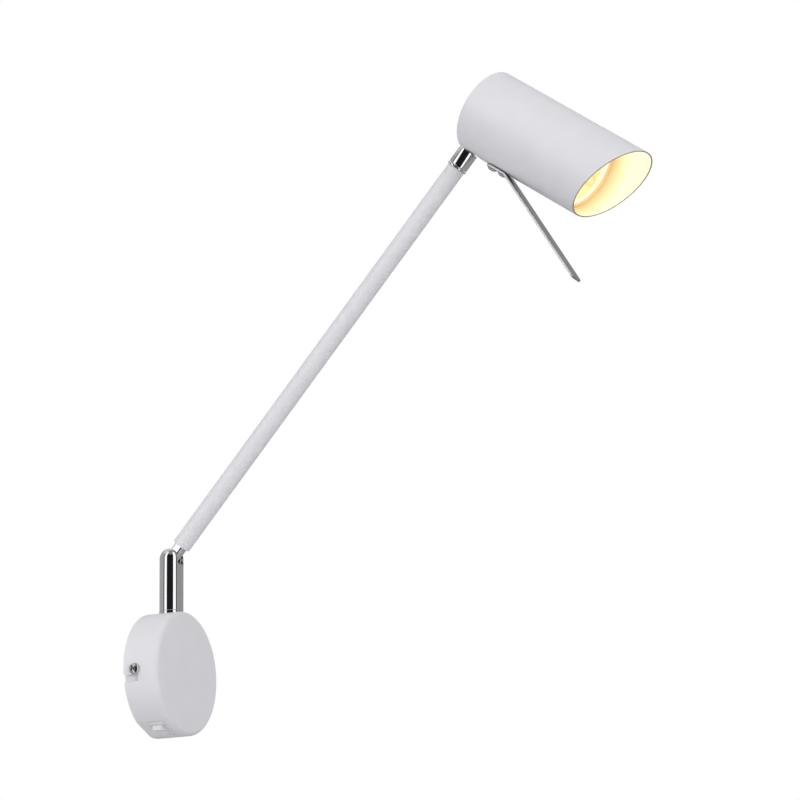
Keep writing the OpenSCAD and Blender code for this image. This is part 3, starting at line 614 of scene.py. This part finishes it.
def bayonet(turn):
    """The slot that lets the cover pass a screw and then turn under its head."""
    drop, depth = COVER_SCREW
    inner_r, half_w, offset, lead_in = 34, 2.2, 5.8, 0.8
    reach = depth + half_w
    low, high = -offset - half_w, -offset + half_w
    side = WALL @ Matrix.Rotation(math.radians(turn), 4, "Z")
    side = side @ Matrix.Translation((inner_r, drop, 0))
    # x away from the wall, y down the rim, z out of the rim
    side = side @ Matrix(((0, 0, 1, 0), (0, 1, 0, 0), (-1, 0, 0, 0), (0, 0, 0, 1)))
    side = side @ Matrix.Rotation(math.pi, 4, "Z")
    way = [(-1, low - lead_in - 1), (lead_in, low), (reach - 0.6, low), (reach, low + 0.6)]
    round_end = []
    for i in range(17):
        angle = math.pi * i / 16
        round_end.append((depth + half_w * math.cos(angle), half_w * math.sin(angle)))
    back = [(depth - half_w, high), (lead_in, high), (-1, high + lead_in + 1)]
    return prism("slot", way + round_end + back, 0, 12, side)


def cover_screws():
    screws = []
    for turn in (0, 180):
        side = WALL @ Matrix.Rotation(math.radians(turn), 4, "Z")
        side = side @ Matrix.Translation((COVER_R + 0.05, *COVER_SCREW))
        side = side @ Matrix.Rotation(math.pi / 2, 4, "Y")
        screws.append(pan_screw("cover_screws_look", 4, 9, (7.2, 2.2), side, 35))
    return finish_piece(join(screws), "base", "screw_nickel", ["cover_screws"])


def post_ring():
    ring = lathe("post_ring_look", rounded([
        (4.85, 34, 0), (7.9, 34, 0), (7.9, 41.2, 0.35), (4.85, 41.2, 0)
    ]), POST, FINE)
    combine(ring, [tube_cut("cover", COVER_R + 0.02, -5, 40, WALL, 360)])
    return finish_piece(ring, "base", "chrome", ["post_ring"])


# ---------- Switch ----------

PIVOT = SWITCH @ Matrix.Translation((0, 0, -0.3))   # middle of the rocker's trunnions


def frame_outline(width, height, radius, steps=4):
    x, y = width / 2, height / 2
    return rounded([(-x, -y, radius), (x, -y, radius), (x, y, radius), (-x, y, radius)], steps)


def switch_housing():
    bezel = prism("switch_housing_look", frame_outline(16, 10.5, 1.0), 0, 1.2, SWITCH)
    soften(bezel, 0.3, 40, 3)
    body = prism("body", frame_outline(14.6, 8.8, 0.6), -10, 0.6, SWITCH)
    combine(bezel, [body], "UNION")
    combine(bezel, [prism("cavity", frame_outline(13.8, 7.6, 0.5), -4.6, 5, SWITCH)])
    sideways = PIVOT @ Matrix.Rotation(math.pi / 2, 4, "X")
    combine(bezel, [tube_cut("pivot", 1.05, -4.35, 4.35, sideways, 24)])
    half_t, half_w = 0.43, 2.43     # the way of a switch terminal's blade
    for side in (-4, 4):
        low, high = (side - half_t, -half_w, -12), (side + half_t, half_w, -8)
        combine(bezel, [box_mesh("blade", low, high, SWITCH)])
    return finish_piece(bezel, "base", "switch_plastic", ["switch_housing"])


def switch_rocker():
    """Two faces that meet in a shallow valley, on a body that is round about its trunnions."""
    radius, valley, floor, half_throw = 6.6, 2.2, -2.5, math.radians(12)
    slope = math.tan(half_throw)
    # where the sloping face meets the round side
    a, b, c = 1 + slope**2, 2 * valley * slope, valley**2 - radius**2
    edge_x = (-b + math.sqrt(b * b - 4 * a * c)) / (2 * a)
    top = math.atan2(valley + slope * edge_x, edge_x)
    bottom = math.asin(floor / radius)
    turns = [top + (bottom - top) * i / 14 for i in range(15)]
    side = [(radius * math.cos(turn), radius * math.sin(turn)) for turn in turns]
    outline = [(-1, valley + slope), (0, valley), (1, valley + slope)]
    outline += side + [(-x, y) for x, y in reversed(side)]
    tilt = PIVOT @ Matrix.Rotation(half_throw, 4, "Y") @ Matrix.Rotation(math.pi / 2, 4, "X")
    body = prism("switch_rocker_look", outline, -3.5, 3.5, tilt)
    soften(body, 0.35, 30, 3)
    pin = rounded([(0, -4.2, 0), (1, -4.2, 0.2), (1, 4.2, 0.2), (0, 4.2, 0)])
    combine(body, [lathe("pin", pin, tilt, 32)], "UNION")
    return finish_piece(body, "rocker", "switch_plastic", ["switch_rocker"])


# ---------- Post ----------


def post():
    radius, top = 7.75, ELBOW.z / MM
    foot, stub_foot, stub_r = 41.25, 31.5, 4.8
    outline = rounded([
        (0, stub_foot, 0), (stub_r, stub_foot, 0.3), (stub_r, foot, 0), (radius, foot, 0.3),
        (radius, top, 0)
    ], 4)
    dome = [math.pi / 2 * i / 24 for i in range(1, 24)]
    outline += [(radius * math.cos(turn), top + radius * math.sin(turn)) for turn in dome]
    outline.append((0, top + radius))
    body = lathe("post_look", outline, POST, FINE)
    pivot = POST @ Matrix.Translation((0, 0, top))
    half_w, room_r, rise, far = 4.3, 5.3, 0.5, 20
    # the way of the tongue's bar: flat sides and a round floor
    start = math.acos(half_w / room_r)
    way = [(half_w, far), (-half_w, far)]
    for i in range(25):
        angle = math.pi + start + (math.pi - 2 * start) * i / 24
        way.append((room_r * math.cos(angle), rise + room_r * math.sin(angle)))
    level = pivot @ Matrix.Rotation(math.pi / 2, 4, "X")
    upright = pivot @ Matrix.Rotation(math.pi, 4, "Z")
    across = pivot @ Matrix.Rotation(math.pi / 2, 4, "Y")
    cuts = [
        prism("way", way, 0, far, level),
        prism("way", way, 0, far, upright),
        tube_cut("eye_room", room_r, -half_w, half_w, across, 96),
        tube_cut("bore", 3.6, 20, top - 3, POST),
        tube_cut("pin_bore", 1.525, -6.45, 9, across, 32),
        tube_cut("pin_seat", 2.7, 5.9, 12, across, 48),
    ]
    combine(body, cuts)
    soften(body, 0.15, 40)
    return finish_piece(body, "swivel_post", "chrome", ["post"])


def elbow_pin():
    across = Matrix.Translation(ELBOW) @ Matrix.Rotation(math.pi / 2, 4, "Y") @ Matrix.Scale(MM, 4)
    across = across @ Matrix.Translation((0, 0, 5.95))
    outline = rounded([
        (0, -12.2, 0), (1.5, -12.2, 0.3), (1.5, 0, 0), (2.6, 0, 0.15), (2.6, 1.3, 0.3), (0, 1.3, 0)
    ], 4)
    pin = lathe("elbow_pin_look", outline, across, 64)
    combine(pin, [box_mesh("slot", (-4, -0.4, 0.6), (4, 0.4, 3), across)])
    return finish_piece(pin, "swivel_post", "chrome", ["elbow_pin"])


# ---------- Arm ----------


def arm_pieces():
    blade = tongue("arm_tongue_look", 11.5, 3.7, 5, 14.5, ARM)
    finish_piece(blade, "swing_arm", "chrome", ["arm_tongue"])
    low, high = 11, 313     # ends of the tube, mm from the elbow
    outline = rounded([(5, low, 0.2), (6, low, 0.3), (6, high, 0.3), (5, high, 0.2)], 4)
    tube = lathe("arm_tube_look", outline, ARM, 96)
    slice_across(tube, ARM, low, high)
    finish_piece(tube, "swing_arm", "white_coat", ["arm_tube"])
    outline = rounded([
        (3.6, 298, 0), (5, 298, 0.2), (5, 313.02, 0), (6.8, 313.02, 0.3), (6.8, 314.22, 0.3),
        (4.4, 314.22, 0), (4.4, 321, 0.2), (3.6, 321, 0)
    ], 4)
    bush = lathe("arm_bush_look", outline, ARM, 96)
    finish_piece(bush, "swing_arm", "chrome", ["arm_bush"])


# ---------- Neck ----------


def neck_sleeve():
    low = 314.5             # foot of the sleeve, mm from the elbow
    floor, high = low + 2, low + 11.9
    outline = rounded([
        (4.45, low, 0.1), (6.6, low, 0.35), (6.6, high, 0.35), (5.8, high, 0.15), (5.8, floor, 0),
        (4.45, floor, 0)
    ], 4)
    sleeve = lathe("neck_sleeve_look", outline, ARM, 128)
    return finish_piece(sleeve, "neck", "chrome", ["neck_sleeve"])


# ---------- Head ----------

SHADE_R = 28
SHADE_L = 107
MOUTH = math.tan(math.radians(20.8))    # slope of the slanted mouth
SLANT_START = 70        # the wall leans towards the slanted mouth from here, mm along the shade
PAINTED_LIGHT_START = 70          # the painted lamplight on the coat inside starts here, mm along the shade
SCREW_HOLES = (27.1, 35.7)              # places of the two handle screws along the shade, mm
# x, then along the shade, then out of its underside
UNDER = HEAD @ Matrix(((1, 0, 0, 0), (0, 0, -1, 0), (0, 1, 0, 0), (0, 0, 0, 1)))


def slot_outline(half_w, far, reach):
    """A slot from y = far that ends in a half round about y = reach."""
    turns = [math.pi * i / 24 for i in range(25)]
    end = [(half_w * math.cos(turn), reach + half_w * math.sin(turn)) for turn in turns]
    return [(-half_w, far), (half_w, far)] + end


def screw_cuts(low, high):
    """The holes of the two handle screws, between two distances from the shade's axis."""
    return [
        tube_cut("hole", 1.6, low, high, UNDER @ Matrix.Translation((0, hole, 0)), 24)
        for hole in SCREW_HOLES
    ]


def shade():
    def slant(y, z):
        return y * MOUTH * max(0.0, z - SLANT_START) / (SHADE_L - SLANT_START)

    inner_r = SHADE_R - 1
    outline = rounded([
        (0, 0, 0), (SHADE_R, 0, 2.5), (SHADE_R, SLANT_START, 0), (SHADE_R, SHADE_L, 0.42),
        (inner_r, SHADE_L, 0.42), (inner_r, SLANT_START, 0), (inner_r, 1, 1.5), (0, 1, 0)
    ], 6)
    shell = lathe("shade_look", outline, HEAD, FINE, slant)
    # the notch for the neck, in the side and in the back
    half_w, reach = 7.1, 10.1
    back_y = -SHADE_R + 10.5 - half_w
    cuts = [
        prism("notch", slot_outline(half_w, -5, reach), SHADE_R - 4, SHADE_R + 5, UNDER),
        prism("notch", slot_outline(half_w, -40, back_y), -5, 3, HEAD),
    ]
    combine(shell, cuts + screw_cuts(SHADE_R - 4, SHADE_R + 4))
    soften(shell, 0.12, 40)
    finish_piece(shell, "spot_head", "white_coat", ["shade"])
    shell.data.materials.append(PAINTED_LAMPLIGHT_COAT)
    shell.data.materials.append(CUT_EDGE)
    to_head = HEAD.inverted()
    rim_z, inside_r = SHADE_L - 0.46, SHADE_R - 0.75
    # the mouth's edge gets its own look, and the coat inside from PAINTED_LIGHT_START on gets the painted
    # lamplight
    for face in shell.data.polygons:
        spot = to_head @ face.center
        if spot.z - spot.y * MOUTH > rim_z:
            face.material_index = 2
        elif math.hypot(spot.x, spot.y) < inside_r and spot.z > PAINTED_LIGHT_START:
            face.material_index = 1
    return shell


def handle():
    """A flat strip, bent where it leaves the shade, with a round end and a squarer tip."""
    half_w, thick, start, corner, length, bend_r = 7.2, 1.4, 23.6, 40.4, 87, 3.0
    top_r, tip_r, edge_r = 7, 3, 0.25
    gap = 0.02              # between the strip and the shade, mm
    inset = 0.02            # keeps the first and last section wider than nothing, mm
    edge_facing = 0.8       # a face that looks sideways more than this is the strip's edge, which gets a painted highlight
    flat_l = corner - start
    turn = HANDLE_BEND
    arc = bend_r * turn
    tangent = bend_r * math.tan(turn / 2)
    bend_start = flat_l - tangent
    after = flat_l + length - 2 * tangent + arc
    stops = [inset] + [top_r * (1 - math.cos(math.pi / 2 * i / 12)) for i in range(1, 13)]
    stops += [top_r + (bend_start - top_r) * i / 4 for i in range(1, 5)]
    stops += [bend_start + arc * i / 8 for i in range(1, 9)]
    stops += [bend_start + arc + (after - tip_r - bend_start - arc) * i / 12 for i in range(1, 13)]
    stops += [after - tip_r + tip_r * math.sin(math.pi / 2 * i / 12) for i in range(1, 12)]
    stops.append(after - inset)

    def spot(s, x, h):
        """s along the strip, x across it, h out of the face that looks away from the shade."""
        if s <= bend_start:
            angle, y, z = 0.0, 0.0, s
        elif s <= bend_start + arc:
            angle = (s - bend_start) / bend_r
            y, z = -bend_r * (1 - math.cos(angle)), bend_start + bend_r * math.sin(angle)
        else:
            angle, over = turn, s - bend_start - arc
            y = -bend_r * (1 - math.cos(turn)) - over * math.sin(turn)
            z = bend_start + bend_r * math.sin(turn) + over * math.cos(turn)
        return (x, -SHADE_R - gap + y - h * math.cos(angle), start + z - h * math.sin(angle))

    verts, faces = [], []
    for s in stops:
        reach = half_w
        if s < top_r:
            reach += math.sqrt(top_r**2 - (top_r - s) ** 2) - top_r
        elif s > after - tip_r:
            reach += math.sqrt(tip_r**2 - (s - after + tip_r) ** 2) - tip_r
        edge = min(edge_r, reach * 0.5)
        corners = [(-reach, 0), (reach, 0), (reach, thick), (-reach, thick)]
        section = rounded([(x, h, edge) for x, h in corners], 3)
        verts += [spot(s, x, h) for x, h in section]
    ring = len(verts) // len(stops)
    for j in range(len(stops) - 1):
        for i in range(ring):
            k = (i + 1) % ring
            faces.append((j * ring + i, j * ring + k, (j + 1) * ring + k, (j + 1) * ring + i))
    faces.append(tuple(range(ring)))
    faces.append(tuple(range((len(stops) - 1) * ring, len(stops) * ring)))
    strip = mesh_object("handle_look", verts, faces, HEAD)
    combine(strip, screw_cuts(SHADE_R - 2, SHADE_R + 5))
    slope = (0, -math.sin(turn), math.cos(turn))
    bend_spot = HEAD @ Matrix.Translation((0, -SHADE_R, corner))
    slice_across(strip, bend_spot, 3, length, slope, 4)
    finish_piece(strip, "spot_head", "handle_steel", ["handle"])
    # the strip's sideways faces get the painted highlight
    strip.data.materials.append(HANDLE_EDGE_PAINTED_HIGHLIGHT)
    across = HEAD.to_3x3().col[0].normalized()
    for face in strip.data.polygons:
        if abs(face.normal.dot(across)) > edge_facing:
            face.material_index = 1
    return strip


def handle_screws():
    screws = []
    for hole in SCREW_HOLES:
        seat = UNDER @ Matrix.Translation((0, hole, SHADE_R + 1.47))
        screws.append(pan_screw("handle_screws_look", 3, 5.6, (6.6, 1.6), seat, 20))
    return finish_piece(join(screws), "spot_head", "screw_nickel", ["handle_screws"])


def tilt_screw():
    across = HEAD @ Matrix.Translation(TILT_IN_HEAD) @ Matrix.Rotation(math.pi / 2, 4, "Y")
    seat = across @ Matrix.Translation((0, 0, 4.35))
    screw = pan_screw("tilt_screw_look", 3, 12.4, (5.6, 2), seat)
    return finish_piece(screw, "spot_head", "screw_nickel", ["tilt_screw"])


# ---------- Bulb ----------

BULB_FOOT = 53      # start of the bulb's bowl along the shade, mm


def bowl_r(z):
    """Inner radius of the bulb's bowl, a parabola, at z mm behind its rim."""
    return math.sqrt(11**2 + (24**2 - 11**2) * (1 - z / (BULB_RIM - BULB_FOOT)))


def bulb():
    depth, rows, columns = BULB_RIM - BULB_FOOT, 9, 30
    verts, faces = [], []
    # facets inside, each row turned half a facet from the last
    for j in range(rows + 1):
        z = BULB_FOOT + 0.05 + (depth - 1.4) * j / rows
        radius = bowl_r(BULB_RIM - z)
        for i in range(columns):
            turn = 2 * math.pi * (i + 0.5 * (j % 2)) / columns
            verts.append((radius * math.cos(turn), radius * math.sin(turn), z))
    for j in range(rows):
        for i in range(columns):
            k = (i + 1) % columns
            low, high = j * columns, (j + 1) * columns
            if j % 2 == 0:
                faces += [(low + i, low + k, high + i), (low + k, high + k, high + i)]
            else:
                faces += [(low + i, low + k, high + k), (low + i, high + k, high + i)]
    inner = mesh_object("bulb_reflector_look", verts, faces, HEAD)
    finish_piece(inner, "spot_head", "reflector", ["bulb_reflector"])
    inner.data.polygons.foreach_set("use_smooth", [False] * len(inner.data.polygons))
    inside = [BULB_FOOT + 0.05 + (depth - 1.4) * i / 16 for i in range(17)]
    outside = [BULB_RIM - 2.8 - (depth - 2.85) * i / 16 for i in range(17)]
    outline = [(bowl_r(BULB_RIM - z) + 0.12, z) for z in inside]
    outline += rounded([
        (outline[-1][0], BULB_RIM - 1.2, 0), (23.9, BULB_RIM, 0.3), (25, BULB_RIM, 0.5),
        (25, BULB_RIM - 1.8, 0.3), (bowl_r(2.4) + 1, BULB_RIM - 2.4, 0)
    ], 4)
    outline += [(bowl_r(BULB_RIM - z) + 1, z) for z in outside]
    shell = lathe("bulb_shell", outline, HEAD, 96)
    # the bulb's shell carries the painted glow of light leaking past its rim
    finish_piece(shell, "spot_head", "reflector", material=RIM_PAINTED_GLOW)
    burner = lathe("bulb_burner_look", rounded([
        (0, 53.05, 0), (4.5, 53.05, 0.3), (4.5, 57.05, 0.5), (3.5, 57.5, 0.2), (3.5, 67.05, 3.4),
        (1.2, 70.4, 0.5), (0, 70.5, 0)
    ], 6), HEAD, 48)
    finish_piece(burner, "spot_head", "lamp_glass", ["bulb_burner"], BURNER_GLASS)
    edge_r = bowl_r(2) - 0.3
    glass = lathe("bulb_glass_look", rounded([
        (0, 85.5, 0), (edge_r, 85.5, 0.3), (edge_r, 86.3, 0.3), (edge_r - 2.2, 87.1, 0.6),
        (0, 87.1, 0)
    ], 5), HEAD, 96)
    finish_piece(glass, "spot_head", "lamp_glass", ["bulb_glass"])


# ---------- The object ----------

for part in frame["record"]["subparts"]:
    NODES[part["node"]].data.materials.clear()
    NODES[part["node"]].data.materials.append(LOOKS[part["material_slot"]])

base_cover()
cover_screws()
post_ring()
switch_housing()
switch_rocker()
post()
elbow_pin()
arm_pieces()
neck_sleeve()
shade()
handle()
handle_screws()
tilt_screw()
bulb()

# ---------- Camera, floor and light ----------

AZIMUTH, ELEVATION, ROLL = math.radians(-64.96), math.radians(-14.47), math.radians(0.86)
AIM = Vector((0, -0.17762, 0.16216))    # the point in the middle of the view, m
DISTANCE = 2.10231                      # of the camera from that point, m
FLOOR_Z = -1.4                          # height of the floor, m
right = Vector((math.cos(AZIMUTH), math.sin(AZIMUTH), 0))
ground = math.cos(ELEVATION)
back = Vector((math.sin(AZIMUTH) * ground, -math.cos(AZIMUTH) * ground, math.sin(ELEVATION)))
up = back.cross(right)
camera = bpy.data.objects.new("camera", bpy.data.cameras.new("camera"))
bpy.context.scene.collection.objects.link(camera)
camera.data.lens = 149.16
camera.data.sensor_width = 36
camera.data.clip_end = 20
side = right * math.cos(ROLL) - up * math.sin(ROLL)
top = right * math.sin(ROLL) + up * math.cos(ROLL)
turned = Matrix((side, top, back)).transposed().to_4x4()
camera.matrix_world = Matrix.Translation(AIM + back * DISTANCE) @ turned
bpy.context.scene.camera = camera

floor_corners = [(-1.05, -1.25, 0), (1.05, -1.25, 0), (1.05, 0.85, 0), (-1.05, 0.85, 0)]
floor = mesh_object(
    "floor", floor_corners, [(0, 1, 2, 3)], Matrix.Translation((0, 0, FLOOR_Z))
)
floor.data.materials.append(surface(
    "floor", (0.60, 0.60, 0.61), (0.66, 0.66, 0.67), (0.6, 0.75),
    tone_scale=3, grain_scale=200, grain=0.1,
))


def studio():
    """White behind the object, and round it the tall lights and dark gaps that metal shows."""
    gap_light = 0.015       # what the gaps between the lights give
    glossy_limit = 1.4      # polished metal shows the lights no brighter than this
    world = bpy.data.worlds.new("studio")
    world.use_nodes = True
    bpy.context.scene.world = world
    tree = world.node_tree
    tree.nodes.clear()
    aim = add_node(tree, "TexCoord").outputs["Generated"]
    parts = add_node(tree, "SeparateXYZ", {0: aim})
    flat = add_node(tree, "CombineXYZ", {0: parts.outputs[0], 1: parts.outputs[1]})
    level = add_node(tree, "VectorMath", {0: flat.outputs[0]}, operation="NORMALIZE").outputs[0]
    height = parts.outputs[2]

    def card(turn, half, strength, low=-0.75, high=0.88, soft=1.5):
        """A tall light, turn degrees to the right of the camera and half degrees to each side."""
        turn = math.radians(turn)
        towards = Vector((back.x, back.y, 0)).normalized() * math.cos(turn) + right * math.sin(turn)
        near = add_node(tree, "VectorMath", {0: level, 1: towards}, operation="DOT_PRODUCT")
        outer, inner = math.cos(math.radians(half + soft)), math.cos(math.radians(half - soft))
        across = spread(tree, near.outputs["Value"], 0, strength, outer, inner, "SMOOTHSTEP")
        above = spread(tree, height, 0, 1, low - 0.05, low + 0.05, "SMOOTHSTEP")
        below = spread(tree, height, 1, 0, high - 0.05, high + 0.05, "SMOOTHSTEP")
        return calc(tree, "MULTIPLY", calc(tree, "MULTIPLY", across, above), below)

    lights = calc(tree, "ADD", card(-54.5, 11.25, 3.2), card(33.25, 12.25, 3.1))
    lights = calc(tree, "ADD", lights, card(-128.5, 51.5, 0.43, -1.2, 1.2))
    lights = calc(tree, "ADD", lights, card(117.5, 62.5, 0.36, -1.2, 1.2))
    lights = calc(tree, "ADD", lights, spread(tree, height, 0, 0.3, 0.60, 0.72, "SMOOTHSTEP"))
    lights = calc(tree, "ADD", lights, gap_light)
    path = add_node(tree, "LightPath")
    shown = add_node(tree, "Mix", {
        "Factor": path.outputs["Is Glossy Ray"], "A": lights,
        "B": calc(tree, "MINIMUM", lights, glossy_limit),
    })
    seen = add_node(tree, "Background", {"Color": (1, 1, 1, 1), "Strength": 1.0})
    felt = add_node(tree, "Background", {"Color": (1, 1, 1, 1), "Strength": shown.outputs[0]})
    both = add_node(tree, "MixShader", {
        0: path.outputs["Is Camera Ray"], 1: felt.outputs[0], 2: seen.outputs[0]
    })
    add_node(tree, "OutputWorld", {"Surface": both.outputs[0]})


studio()
bpy.context.scene.view_settings.view_transform = "Standard"
